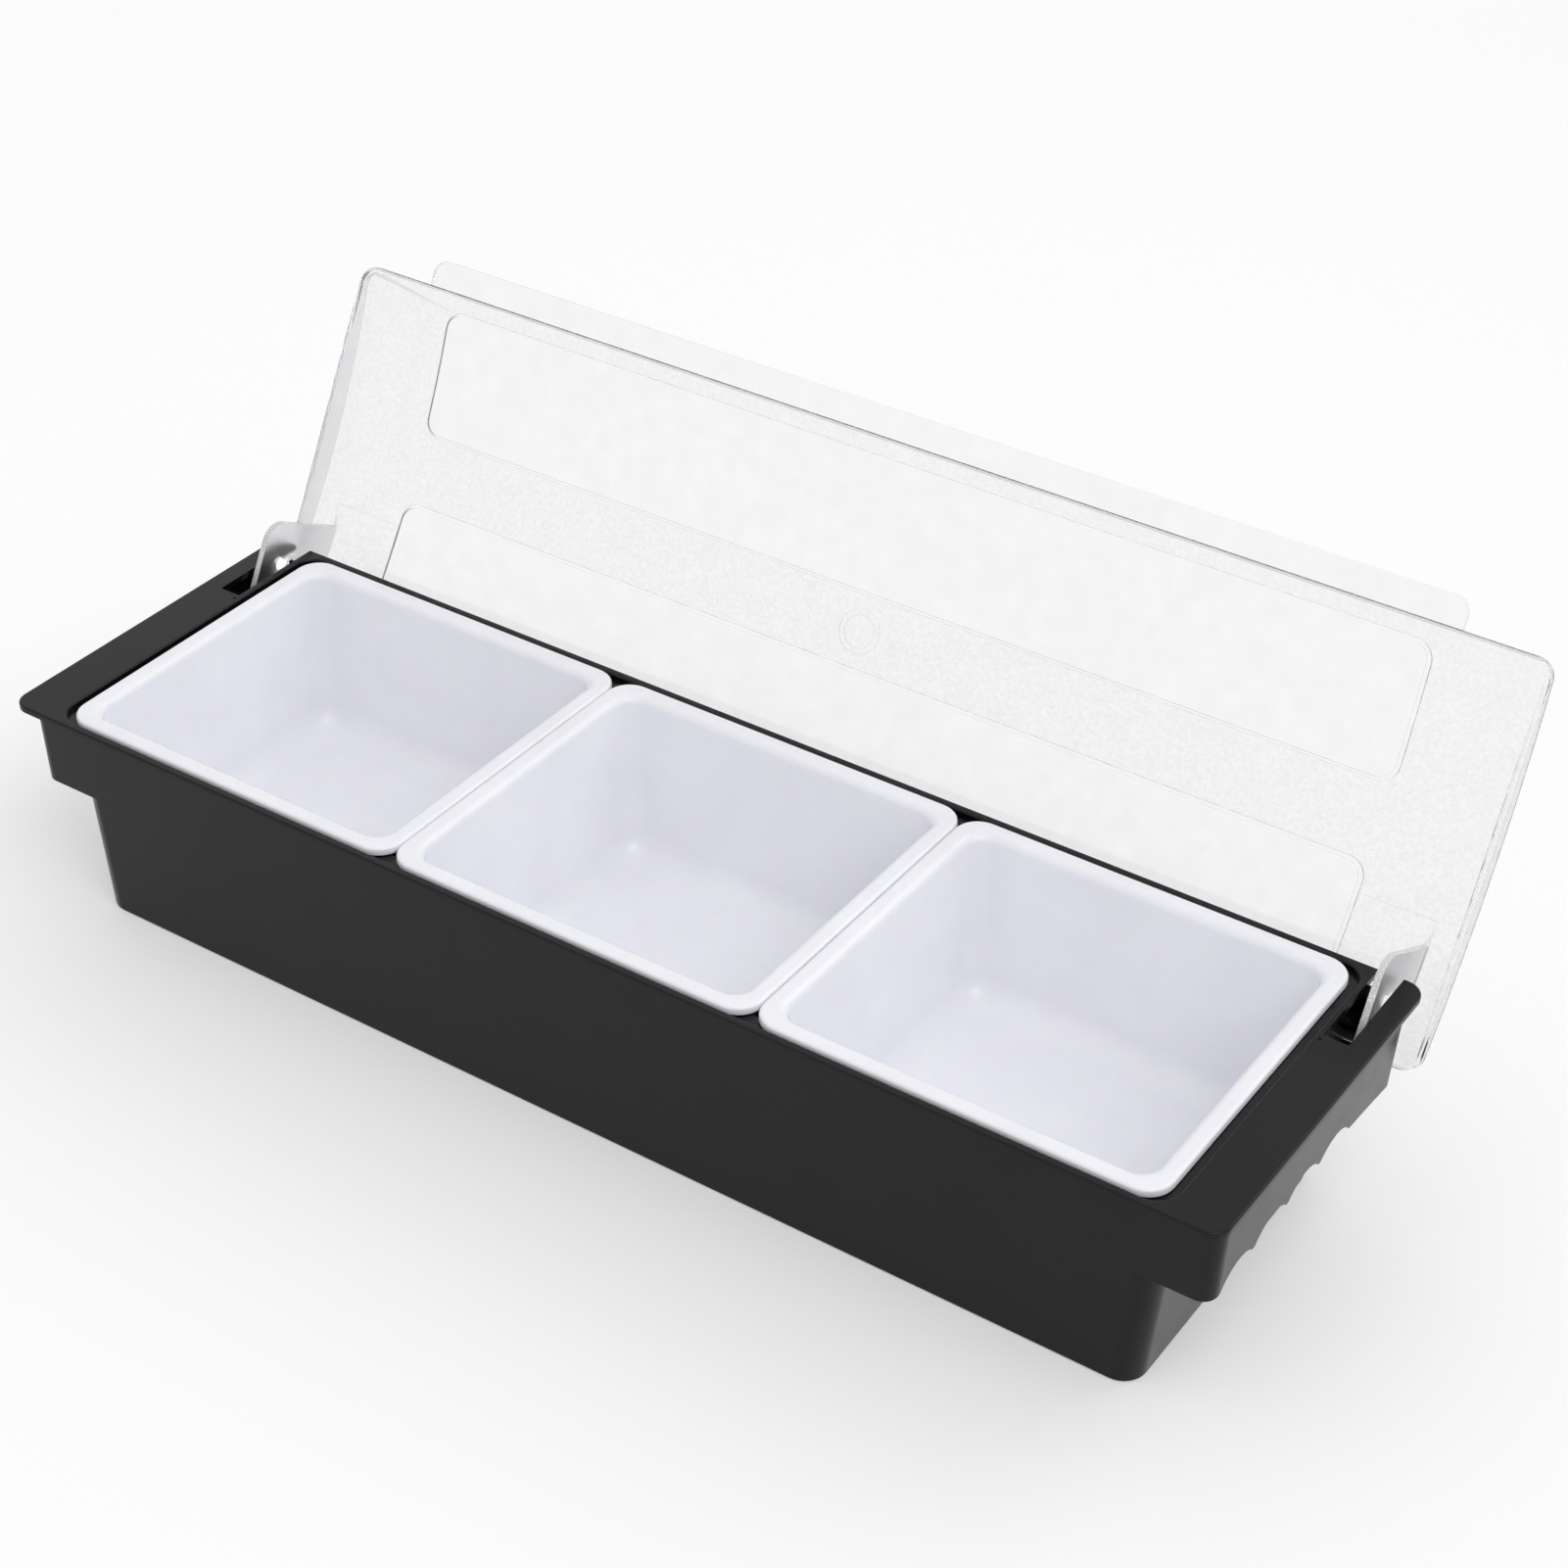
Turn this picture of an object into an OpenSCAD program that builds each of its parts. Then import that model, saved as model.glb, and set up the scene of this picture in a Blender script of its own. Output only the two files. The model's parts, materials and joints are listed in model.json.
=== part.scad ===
// Condiment caddy: a black base that holds three white lift-out trays over an ice well,
// closed by one clear lid that swings back on two gooseneck arms.
// X runs along the caddy, Y from front to back, Z up. The origin is under the middle of the base.
// The lid is drawn open, as it stands on the table.

/* [Base] */
// Length over the two end flanges
base_l = 500; // [450:5:560]
// Depth over the front and back lips
base_w = 147; // [136:1:165]
// Height from the table to the top of the flange
base_h = 86.6; // [80:0.2:100]
// Thickness of the flange
flange_t = 2.4; // [1.8:0.1:3.2]
// Radius of the flange corners, seen from above
flange_r = 7; // [4:0.5:10]
// Rounding of the flange's upper edge
flange_edge = 0.8; // [0.3:0.1:1.2]
// Flange from the end face of the tub to the end of the base
end_flange = 19.6; // [18.5:0.1:24]
// Lip from the front and back face of the tub to the edge of the flange
side_lip = 6.7; // [5.5:0.1:9]

/* [Tub] */
// Wall of the tub
tub_wall = 2.4; // [2:0.1:3.2]
// Floor of the tub
tub_floor = 2.5; // [2:0.1:4]
// Slope of the end faces, in degrees
end_draft = 5.1; // [2:0.1:6]
// Slope of the front and back faces, in degrees
side_draft = 1.6; // [0.5:0.1:2.5]
// Radius of the upright corners of the tub
tub_r = 9; // [6:0.5:12]
// Rounding along the bottom edge of the tub
foot_r = 1.2; // [0.6:0.2:4]

/* [Tray seat] */
// Depth of the recess that the tray rims sit in
recess_d = 2.2; // [1.2:0.1:3]
// Width of the flange between the recess and the front and back edges
recess_lip = 3.3; // [2.5:0.1:4.5]
// Radius of the recess corners
recess_r = 9; // [6:0.5:12]
// Rounding of the recess's upper edge
recess_edge = 0.8; // [0.3:0.1:1.2]
// Ledge that carries the tray rims, in from the recess, at the front and back
side_ledge = 6; // [4.8:0.1:8]
// The same ledge at the ends
end_ledge = 8; // [6:0.5:9]
// Thickness of the ledge
ledge_t = 2.4; // [1.8:0.1:3.2]
// Radius of the well's corners at the ledge
well_r = 7; // [4:0.5:10]

/* [Finger grips] */
// Height of the skirts that hang from the end flanges, at their corners
grip_z = 50.8; // [44:0.2:60]
// Wall of the skirts
grip_wall = 2.3; // [1.8:0.1:3]
// Overhang of the flange past the skirt at the top
grip_in = 2.4; // [1.5:0.1:4]
// Radius of the upright corner of a skirt
grip_r = 6; // [4:0.5:8]
// Distance of the skirt's back edge from the back of the base
grip_back = 10.2; // [8:0.2:20]
// Rise of the skirt's lower edge at mid-depth
grip_rise = 4.8; // [2:0.2:8]
// Spacing of the finger scallops
finger_pitch = 22.4; // [18:0.2:24]
// Radius of one scallop
finger_r = 14; // [12:0.5:20]
// Depth of one scallop above the skirt's edge
finger_d = 4.8; // [2:0.2:6]
// Place of the middle of the four scallops, in front of mid-depth
finger_y = 14.5; // [6:0.5:16]

/* [Trays] */
// Height of a tray from its rim to its underside
tray_h = 69; // [55:1:76]
// Wall of a tray
tray_wall = 1.8; // [1.4:0.1:2.4]
// Slope of the tray walls, in degrees
tray_draft = 4.5; // [2:0.5:6]
// Width of the rim, from its edge to the outside of the wall
rim_w = 5.7; // [5.2:0.1:6.5]
// Height of the turned-down rim
rim_h = 3; // [2.4:0.1:4]
// Rounding of the rim's upper edges
rim_edge = 1.5; // [0.8:0.1:1.8]
// Rounding from the rim into the tray
rim_round = 3; // [1:0.1:3.4]
// Radius of the rim's corners
rim_r = 10; // [8:0.5:14]
// Radius between the walls and the floor, inside
tray_fillet = 10; // [5:0.5:14]
// Gap from the rims to the front and back of the recess
rim_fit = 0.7; // [0.4:0.1:1.5]
// Gap from the rims to the ends of the recess
end_play = 3.2; // [1:0.1:5]
// Gap between neighbouring trays
tray_gap = 0.3; // [0.3:0.1:1]

/* [Lid] */
// Wall of the lid along its four sides
lid_side = 2; // [1.6:0.1:2.6]
// Thickness of the lid's panel
lid_t = 2.4; // [1.8:0.1:3]
// Distance of the lid's front and back faces from the edges of the flange
lid_inset = 0.3; // [0:0.1:0.8]
// Height of the panel's crown inside, over the edge of the lid
crown_h = 9; // [7.9:0.1:14]
// Radius of the panel's crown
crown_r = 380; // [370:10:460]
// Radius of the lid's corners, seen from above
lid_r = 8; // [5:0.5:10]
// Rounding of the lid's upper edges
lid_edge = 2.5; // [0.5:0.1:3]
// Depth of the pull lip
lip_d = 10.7; // [6:0.1:16]
// Distance of the lip's ends from the ends of the lid
lip_in = 33.4; // [20:0.5:60]
// Radius of the lip's corners
lip_r = 6; // [3:0.5:6]
// Thickness of the lip
lip_t = 2.4; // [1.6:0.1:3]
// Height of the two raised panels over the lid
panel_h = 0.8; // [0.4:0.1:1.2]
// Slope of a raised panel's edge, seen as its width
panel_edge = 1.2; // [0.8:0.1:2]
// Distance of the raised panels from the ends of the lid
panel_in = 43; // [36:0.5:60]
// Distance of the raised panels from the front and back of the lid
panel_side = 8.4; // [7:0.1:14]
// Depth of the front panel
panel_front_w = 48.3; // [40:0.5:54]
// Depth of the back panel
panel_back_w = 51.5; // [40:0.5:54]
// Radius of the panels' corners
panel_r = 6; // [3:0.5:10]
// Angle that the lid opens through, from closed
lid_open = 118; // [90:1:118]

/* [Hinge] */
// Distance of the pivot from the back edge of the flange
pivot_back = 12.7; // [12.5:0.1:14]
// Distance of the pivot below the top of the flange
pivot_drop = 16.3; // [16:0.1:17]
// Thickness of a lid arm
arm_t = 2.4; // [1.8:0.1:3]
// Width of the arm's leg
leg_w = 14; // [12:0.5:15]
// Distance of the leg's front edge in front of the pivot
leg_front = 29.3; // [28.5:0.1:29.8]
// Radius of the arm's eye
eye_r = 9.5; // [8.5:0.1:10]
// Radius of the arm's lower front corner
heel_r = 8.5; // [5:0.5:10]
// Drop of the arm's lower edge below the pivot
arm_drop = 17.9; // [16:0.1:19]
// Radius of the stub that an arm turns on
pin_r = 3.5; // [2.5:0.1:4]
// Gap around the stub in the arm's eye, on the radius
pin_run = 0.06; // [0.03:0.01:0.1]
// Radius of the boss that carries the stub
boss_r = 5.5; // [5:0.1:5.6]
// Length of the stub past the arm, chamfered so that the arm snaps over it
pin_tip = 1.2; // [0.8:0.1:1.6]
// Width of the slot that an arm passes through
slot_w = 9.2; // [8:0.1:10]
// Flange left between the tub's end face and the slot
slot_in = 1.9; // [1.6:0.1:3]

/* [Hidden] */

// Gap between two pieces where one rests on the other or stands beside it
seat_gap = 0.3;
// Gap between an arm and what stands beside it
side_gap = 0.4;
// Overlap of a cutter past the face that it cuts
cut = 1;
// Overlap of two joined shapes
bite = 0.5;
// Steps in a rounded corner and in a rounded edge
corner_n = 8;
edge_n = 4;
// Facets of the crown, of the skirts' arch, of the swing clearance, of lid edges and of a pit
crown_n = 1440;
arch_n = 720;
swing_n = 180;
lid_edge_n = 48;
pit_n = 24;
$fn = 64;

flange_z = base_h - flange_t;
tub_top_l = base_l / 2 - end_flange;
tub_top_w = base_w / 2 - side_lip;
// Radius between the walls and the floor, inside the tub
floor_r = 2.2;

ledge_z = base_h - recess_d;
under_z = ledge_z - ledge_t;
// Step of the recess's ends in from the end faces of the tub
recess_step = 0.4;
recess_l = tub_top_l - recess_step;
recess_w = base_w / 2 - recess_lip;
well_l = recess_l - end_ledge;
well_w = recess_w - side_ledge;
// Wall around the recess, under the flange
seat_wall = 1.5;
seat_l = recess_l + seat_wall;
seat_w = recess_w + seat_wall;

grip_top_l = base_l / 2 - grip_in;
grip_y = base_w / 2 - grip_back;
// Slope of a skirt's end face, in degrees
grip_draft = 2.8;
// Radius of a skirt's lower back corner
grip_corner_r = 3;
// Step of the skirt's front face over the tub's, which keeps the two faces apart
flush_step = 0.1;
scallops = 4;
arch_r = (pow(grip_y, 2) + pow(grip_rise, 2)) / (2 * grip_rise);

tray_n = 3;
tray_l = (2 * (recess_l - end_play) - (tray_n - 1) * tray_gap) / tray_n;
tray_w = 2 * (recess_w - rim_fit);
tray_top = ledge_z + seat_gap + rim_h;
tray_pitch = tray_l + tray_gap;
tray_floor_t = 2;
// Thickness of the rim
rim_t = 1.6;
// Amount by which a tray's own corners are tighter than its rim's
rim_spread = 2;

lid_z = base_h + seat_gap;
lid_l = base_l / 2 + seat_gap + lid_side;
lid_w = base_w / 2 - lid_inset;
// Height of a prism that reaches over all of the lid
over_lid = crown_h + lid_t + panel_h + cut;
// Height by which the lid's back wall stops short of the flange, to swing past its edge
heel_cut = 2.2;
// Stepped dimple of the moulding gate, in the middle of the band between the raised panels
gate_r = 8.5;
gate_step_r = 6.2;
gate_d = 0.35;
// Patch around the foot of each arm, where the mould has an insert, before the pivot
insert_t = 0.2;
insert_front = 38.2;
insert_back = 6;

pivot_y = base_w / 2 - pivot_back;
pivot_z = base_h - pivot_drop;
// Gap between an arm and the outer side of its slot
slot_gap = 1.3;
slot_x = tub_top_l + slot_in;
slot_end = slot_x + slot_w;
slot_front = pivot_y - leg_front - side_gap;
arm_out = slot_end - slot_gap;
arm_in = arm_out - arm_t;
boss_out = arm_in - side_gap;
pin_bevel = 0.8;
// Ejector pit beside the front of each slot
pit_r = 0.7;
pit_y = 2.5;
// Reach of the flange's back edge from the pivot, and of all that swings past it
swing_gap = 0.35;
edge_reach = norm([pivot_back - flange_edge, pivot_drop - flange_edge]) + flange_edge;
swing_r = edge_reach + swing_gap;

function tub_l(z) = tub_top_l - (flange_z - z) * tan(end_draft);
function tub_w(z) = tub_top_w - (flange_z - z) * tan(side_draft);
function grip_l(z) = grip_top_l - (flange_z - z) * tan(grip_draft);

// One level of a loft: a rounded rectangle of half sizes a and b at height z
function ring(a, b, r, z) = [
    for (q = [0:3], k = [0:corner_n])
        let (t = 90 * (q + k / corner_n), sx = (q == 0 || q == 3) ? 1 : -1, sy = q < 2 ? 1 : -1)
            [sx * (a - r) + r * cos(t), sy * (b - r) + r * sin(t), z]
];

// Skin through a list of rings, closed by a flat face at each end
module loft(rings) {
    m = len(rings[0]);
    n = len(rings);
    points = [for (g = rings) each g];
    sides = [
        for (i = [0:n - 2], j = [0:m - 1])
            let (k = (j + 1) % m)
                [i * m + j, (i + 1) * m + j, (i + 1) * m + k, i * m + k]
    ];
    start = [for (j = [0:m - 1]) j];
    end = [for (j = [m - 1:-1:0]) (n - 1) * m + j];
    polyhedron(points = points, faces = concat([start], sides, [end]));
}

// Flat rounded rectangle with true arcs, of half sizes a and b
module plate(a, b, r) {
    square([2 * a, 2 * (b - r)], center = true);
    square([2 * (a - r), 2 * b], center = true);
    for (sx = [-1, 1], sy = [-1, 1])
        translate([sx * (a - r), sy * (b - r)])
            circle(r = r);
}

// Round bar along X between x0 and x1
module bar(r, x0, x1) {
    translate([x0, 0, 0])
        rotate([0, 90, 0])
            cylinder(r = r, h = x1 - x0);
}

// Flange plate with a rounded upper edge
module flange() {
    loft(concat(
        [ring(base_l / 2, base_w / 2, flange_r, flange_z)],
        [
            for (k = [0:edge_n])
                let (t = 90 * k / edge_n)
                let (d = flange_edge * (1 - cos(t)), z = base_h - flange_edge * (1 - sin(t)))
                    ring(base_l / 2 - d, base_w / 2 - d, flange_r - d, z)
        ]
    ));
}

// Recess that takes the rims of the trays, rounded where it meets the top of the flange
module recess() {
    low = base_h - recess_edge;
    loft(concat(
        [ring(recess_l, recess_w, recess_r, ledge_z)],
        [
            for (k = [0:edge_n])
                let (t = 90 * k / edge_n)
                let (d = recess_edge * (1 - cos(t)), z = low + recess_edge * sin(t))
                    ring(recess_l + d, recess_w + d, recess_r + d, z)
        ],
        [ring(recess_l + recess_edge, recess_w + recess_edge, recess_r + recess_edge, base_h + cut)]
    ));
}

// Outside of the tub, drafted on all sides, with a rounded bottom edge
module tub_outside() {
    loft(concat(
        [
            for (k = [0:edge_n])
                let (t = 90 * k / edge_n)
                let (d = foot_r * (1 - sin(t)), z = foot_r * (1 - cos(t)))
                    ring(tub_l(z) - d, tub_w(z) - d, tub_r - d, z)
        ],
        [ring(tub_l(under_z + bite), tub_w(under_z + bite), tub_r, under_z + bite)]
    ));
}

// Hollow of the tub, from its floor to the underside of the ledge
module tub_inside() {
    loft(concat(
        [
            for (k = [0:edge_n])
                let (t = 90 * k / edge_n)
                let (d = tub_wall + floor_r * (1 - sin(t)), z = tub_floor + floor_r * (1 - cos(t)))
                    ring(tub_l(z) - d, tub_w(z) - d, tub_r - d, z)
        ],
        [ring(tub_l(under_z) - tub_wall, tub_w(under_z) - tub_wall, tub_r - tub_wall, under_z)]
    ));
}

// Room that a skirt is kept to, seen from the end of the caddy, from the front edge at Z = grip_z
module skirt_side() {
    depth = grip_y + base_w / 2;
    square([depth - grip_corner_r, base_h]);
    translate([0, grip_corner_r])
        square([depth, base_h]);
    translate([depth - grip_corner_r, grip_corner_r])
        circle(r = grip_corner_r);
}

// Skirts that hang from the end flanges, with wings that join the front of the tub
module grips() {
    room_l = base_l / 2 - tub_l(grip_z) + 2 * tub_r;
    top = flange_z + bite;
    low = grip_z - cut;
    intersection() {
        difference() {
            loft([
                ring(grip_l(grip_z), tub_w(grip_z) + flush_step, grip_r, grip_z),
                ring(grip_l(top), tub_w(top) + flush_step, grip_r, top)
            ]);
            loft([
                ring(grip_l(low) - grip_wall, tub_w(low) - grip_wall, grip_r - grip_wall, low),
                ring(grip_l(top) - grip_wall, tub_w(top) - grip_wall, grip_r - grip_wall, top + cut)
            ]);
            arch_z = grip_z + grip_rise - arch_r;
            translate([0, 0, arch_z])
                bar(arch_r, -base_l, base_l, $fn = arch_n);
            for (k = [0:scallops - 1]) {
                y = finger_pitch * (k - (scallops - 1) / 2) - finger_y;
                edge = arch_z + sqrt(pow(arch_r, 2) - pow(y, 2));
                translate([0, y, edge + finger_d - finger_r])
                    bar(finger_r, -base_l, base_l);
            }
        }
        for (s = [-1, 1])
            translate([(s * (tub_l(grip_z) + base_l / 2) - room_l) / 2, -base_w / 2, grip_z])
                rotate([90, 0, 90])
                    linear_extrude(room_l)
                        skirt_side();
    }
}

// Boss on the right-hand end of the tub, with the stub that the lid's arm turns on
module hinge_stub() {
    translate([0, pivot_y, pivot_z])
        rotate([0, 90, 0])
            rotate_extrude()
                polygon([
                    [0, tub_l(pivot_z) - tub_r],
                    [boss_r, tub_l(pivot_z) - tub_r],
                    [boss_r, boss_out],
                    [pin_r, boss_out],
                    [pin_r, arm_out + pin_tip - pin_bevel],
                    [pin_r - pin_bevel, arm_out + pin_tip],
                    [0, arm_out + pin_tip]
                ]);
}

module base() {
    color("#2c2c30")
        difference() {
            union() {
                tub_outside();
                flange();
                translate([0, 0, under_z])
                    linear_extrude(flange_z - under_z + bite)
                        plate(seat_l, seat_w, recess_r + seat_wall);
                grips();
                hinge_stub();
                mirror([1, 0, 0])
                    hinge_stub();
            }
            tub_inside();
            translate([0, 0, under_z - bite])
                linear_extrude(ledge_z - under_z + cut)
                    plate(well_l, well_w, well_r);
            recess();
            for (s = [-1, 1]) {
                translate([s * (slot_x + slot_w / 2), slot_front + base_w / 2, base_h])
                    cube([slot_w, base_w, 2 * (flange_t + cut)], center = true);
                translate([s * slot_x, slot_front - pit_y, base_h])
                    sphere(r = pit_r, $fn = pit_n);
            }
        }
}

// One tray, centred on X, as one skin: up the outside, over the turned-down rim and down the inside
module tray() {
    a = tray_l / 2;
    b = tray_w / 2;
    low = tray_top - tray_h;
    lip = tray_top - rim_h;
    shelf = tray_top - rim_t;
    floor_z = low + tray_floor_t;
    out_r = rim_r - rim_spread;
    foot = tray_fillet - tray_wall;
    function lean(z) = rim_w + (shelf - z) * tan(tray_draft);
    loft(concat(
        [
            for (k = [0:edge_n])
                let (t = 90 * k / edge_n, z = low + foot * (1 - cos(t)))
                let (d = lean(z) + foot * (1 - sin(t)))
                    ring(a - d, b - d, out_r, z)
        ],
        [
            ring(a - rim_w, b - rim_w, out_r, shelf),
            ring(a - rim_t, b - rim_t, rim_r - rim_t, shelf),
            ring(a - rim_t, b - rim_t, rim_r - rim_t, lip)
        ],
        [
            for (k = [0:edge_n])
                let (t = 90 * k / edge_n, z = tray_top - rim_edge * (1 - sin(t)))
                let (d = rim_edge * (1 - cos(t)))
                    ring(a - d, b - d, rim_r - d, k == 0 ? lip : z)
        ],
        [
            for (k = [edge_n:-1:0])
                let (t = 90 * k / edge_n, z = tray_top - rim_round * (1 - sin(t)))
                let (d = rim_w + tray_wall - rim_round * (1 - cos(t)))
                    ring(a - d, b - d, out_r, z)
        ],
        [
            for (k = [edge_n:-1:0])
                let (t = 90 * k / edge_n, z = floor_z + tray_fillet * (1 - cos(t)))
                let (d = lean(z) + tray_wall + tray_fillet * (1 - sin(t)))
                    ring(a - d, b - d, out_r, z)
        ]
    ));
}

module tray_at(step) {
    color("#f4f4f6")
        translate([step * tray_pitch, 0, 0])
            tray();
}

module tray_left() {
    tray_at(-1);
}

module tray_centre() {
    tray_at(0);
}

module tray_right() {
    tray_at(1);
}

// Barrel of the crown: everything under the panel's inner face raised by up
module crown(up) {
    translate([0, 0, lid_z + crown_h - crown_r])
        bar(crown_r + up, -base_l, base_l, $fn = crown_n);
}

// Outside of the lid without its panels, with rounded upper edges
module lid_outside() {
    r = crown_r + lid_t;
    centre_z = lid_z + crown_h - crown_r;
    edge_z = sqrt(pow(r - lid_edge, 2) - pow(lid_w - lid_edge, 2));
    edge_y = (lid_w - lid_edge) * r / (r - lid_edge);
    intersection() {
        translate([0, 0, lid_z])
            linear_extrude(over_lid)
                plate(lid_l, lid_w, lid_r);
        translate([0, 0, centre_z])
            rotate([0, 90, 0])
                rotate_extrude($fn = crown_n) {
                    translate([0, -lid_l])
                        square([r - lid_edge, 2 * lid_l]);
                    translate([0, lid_edge - lid_l])
                        square([r, 2 * (lid_l - lid_edge)]);
                    for (s = [-1, 1])
                        translate([r - lid_edge, s * (lid_l - lid_edge)])
                            circle(r = lid_edge, $fn = lid_edge_n);
                }
        translate([-lid_l - cut, 0, centre_z])
            rotate([90, 0, 90])
                linear_extrude(2 * (lid_l + cut)) {
                    intersection() {
                        circle(r = r, $fn = crown_n);
                        square([2 * edge_y, 2 * (r + cut)], center = true);
                    }
                    for (s = [-1, 1])
                        translate([s * (lid_w - lid_edge), edge_z])
                            circle(r = lid_edge, $fn = lid_edge_n);
                    translate([-lid_w, 0])
                        square([2 * lid_w, edge_z]);
                }
    }
}

// Upright prism over the lid between y0 and y1, grown by g on every side
module panel_block(y0, y1, g) {
    translate([0, (y0 + y1) / 2, lid_z])
        linear_extrude(over_lid)
            plate(lid_l - panel_in + g, (y1 - y0) / 2 + g, panel_r + g);
}

module panel_blocks(g) {
    panel_block(-lid_w + panel_side, -lid_w + panel_side + panel_front_w, g);
    panel_block(lid_w - panel_side - panel_back_w, lid_w - panel_side, g);
}

// Gooseneck arm as the closed lid holds it, seen from the end of the caddy, about the pivot
module arm_outline() {
    top = lid_z + crown_h - pivot_z;
    notch = (leg_front - leg_w - eye_r) / 2;
    difference() {
        union() {
            translate([-leg_front, heel_r - arm_drop])
                square([leg_w, top - heel_r + arm_drop]);
            translate([heel_r - leg_front, heel_r - arm_drop])
                circle(r = heel_r);
            translate([heel_r - leg_front, -arm_drop])
                square([leg_front - heel_r, arm_drop - 2 * notch]);
            translate([0, eye_r - arm_drop])
                circle(r = eye_r);
            translate([-eye_r, eye_r - arm_drop])
                square([2 * eye_r, arm_drop - eye_r]);
            circle(r = eye_r);
        }
        translate([-eye_r - notch, -2 * notch])
            circle(r = notch);
        circle(r = pin_r + pin_run);
    }
}

module arm() {
    translate([arm_in, pivot_y, pivot_z])
        rotate([90, 0, 90])
            linear_extrude(arm_t)
                arm_outline();
}

module lid_closed() {
    difference() {
        union() {
            lid_outside();
            intersection() {
                panel_blocks(panel_edge);
                crown(lid_t + panel_h);
            }
            translate([0, -lid_w, lid_z])
                linear_extrude(lip_t)
                    plate(lid_l - lip_in, lip_d, lip_r);
        }
        intersection() {
            translate([0, 0, lid_z - cut])
                linear_extrude(crown_h + 2 * cut)
                    plate(lid_l - lid_side, lid_w - lid_side, lid_r - lid_side);
            crown(0);
        }
        intersection() {
            panel_blocks(0);
            crown(panel_h);
        }
        translate([0, lid_w, lid_z])
            cube([2 * (lid_l - lid_side), 2 * lid_r, 2 * heel_cut], center = true);
        translate([0, pivot_y, pivot_z])
            bar(swing_r, lid_side - lid_l, lid_l - lid_side, $fn = swing_n);
        gate_y = (panel_front_w - panel_back_w) / 2;
        for (step = [[gate_r, 1], [gate_step_r, 2]])
            translate([0, gate_y, lid_z + crown_h + lid_t - step[1] * gate_d])
                cylinder(r = step[0], h = lid_t);
    }
    insert_l = arm_out - lid_l + panel_in;
    intersection() {
        for (s = [-1, 1])
            translate([s * (arm_out - insert_l / 2), pivot_y - (insert_front + insert_back) / 2, lid_z])
                cube([insert_l, insert_front - insert_back, 2 * over_lid], center = true);
        difference() {
            crown(bite);
            crown(-insert_t);
        }
        lid_outside();
    }
    intersection() {
        union() {
            arm();
            mirror([1, 0, 0])
                arm();
        }
        crown(lid_t / 2);
    }
}

module lid() {
    color("#e8eef0", 0.35)
        translate([0, pivot_y, pivot_z])
            rotate([-lid_open, 0, 0])
                translate([0, -pivot_y, -pivot_z])
                    lid_closed();
}

base();
tray_left();
tray_centre();
tray_right();
lid();
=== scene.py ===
"""Looks, lights and camera for the condiment caddy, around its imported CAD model.

The caddy is a black base with an ice well, three white lift-out trays and one clear lid on two
gooseneck arms. Every moulding is a smooth, softly edged copy of its CAD node, in metres and in the
CAD's own frame, and carries a procedural finish. Two thin webs beside the arms are the scene's own.
The camera stands where the photograph's stood.
"""

import json
import logging
import math
from dataclasses import dataclass, field
from enum import Enum

import bmesh
import bpy
from mathutils import Matrix, Vector

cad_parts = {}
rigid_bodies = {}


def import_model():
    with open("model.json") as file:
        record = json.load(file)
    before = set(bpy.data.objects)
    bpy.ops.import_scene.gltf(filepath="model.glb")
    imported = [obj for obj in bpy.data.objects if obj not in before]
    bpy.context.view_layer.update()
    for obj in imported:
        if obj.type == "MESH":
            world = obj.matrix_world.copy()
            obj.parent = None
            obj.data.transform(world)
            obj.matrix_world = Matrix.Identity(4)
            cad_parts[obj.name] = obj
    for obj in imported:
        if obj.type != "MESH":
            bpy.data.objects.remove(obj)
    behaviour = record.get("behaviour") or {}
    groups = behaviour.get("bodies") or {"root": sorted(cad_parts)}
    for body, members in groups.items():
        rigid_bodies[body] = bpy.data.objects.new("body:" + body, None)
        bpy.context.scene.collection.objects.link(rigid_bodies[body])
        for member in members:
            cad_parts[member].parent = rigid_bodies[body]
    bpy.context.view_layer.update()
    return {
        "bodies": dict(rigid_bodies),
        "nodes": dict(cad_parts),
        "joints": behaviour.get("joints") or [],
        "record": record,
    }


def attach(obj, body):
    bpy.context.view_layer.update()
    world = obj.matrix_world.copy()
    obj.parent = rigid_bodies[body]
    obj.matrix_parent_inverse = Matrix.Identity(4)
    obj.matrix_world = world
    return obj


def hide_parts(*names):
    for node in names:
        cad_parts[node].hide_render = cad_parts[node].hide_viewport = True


LOG = logging.getLogger("caddy")
MM = 0.001
# Most of a noise's values lie between these.
NOISE_LOW = 0.3
NOISE_HIGH = 0.7
# Sockets of a colour mix, which have the same names as those of its other kinds.
MIX_FIRST = "6"
MIX_SECOND = "7"
MIX_RESULT = 2


class LidPart(Enum):
    """Places of the lid that get different materials, by material slot: the mould's finishes, with
    painted shade on the rounded edges and in the bend.
    """

    CROWN = 0
    SMOOTH = 1
    EDGE = 2
    ARM = 3
    ARM_EDGE = 4
    WALL = 5
    BEND = 6


def linear(hex_colour: str) -> tuple[float, float, float, float]:
    """Turns an sRGB hex colour into linear light, by the standard's two-part curve.

    Args:
        hex_colour: A colour such as "#2c2c30".

    Returns:
        Red, green and blue in linear light, and an alpha of 1.
    """
    channels = [int(hex_colour[i : i + 2], 16) / 255 for i in (1, 3, 5)]
    red, green, blue = [
        c / 12.92 if c <= 0.04045 else ((c + 0.055) / 1.055) ** 2.4 for c in channels
    ]
    return (red, green, blue, 1.0)


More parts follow.
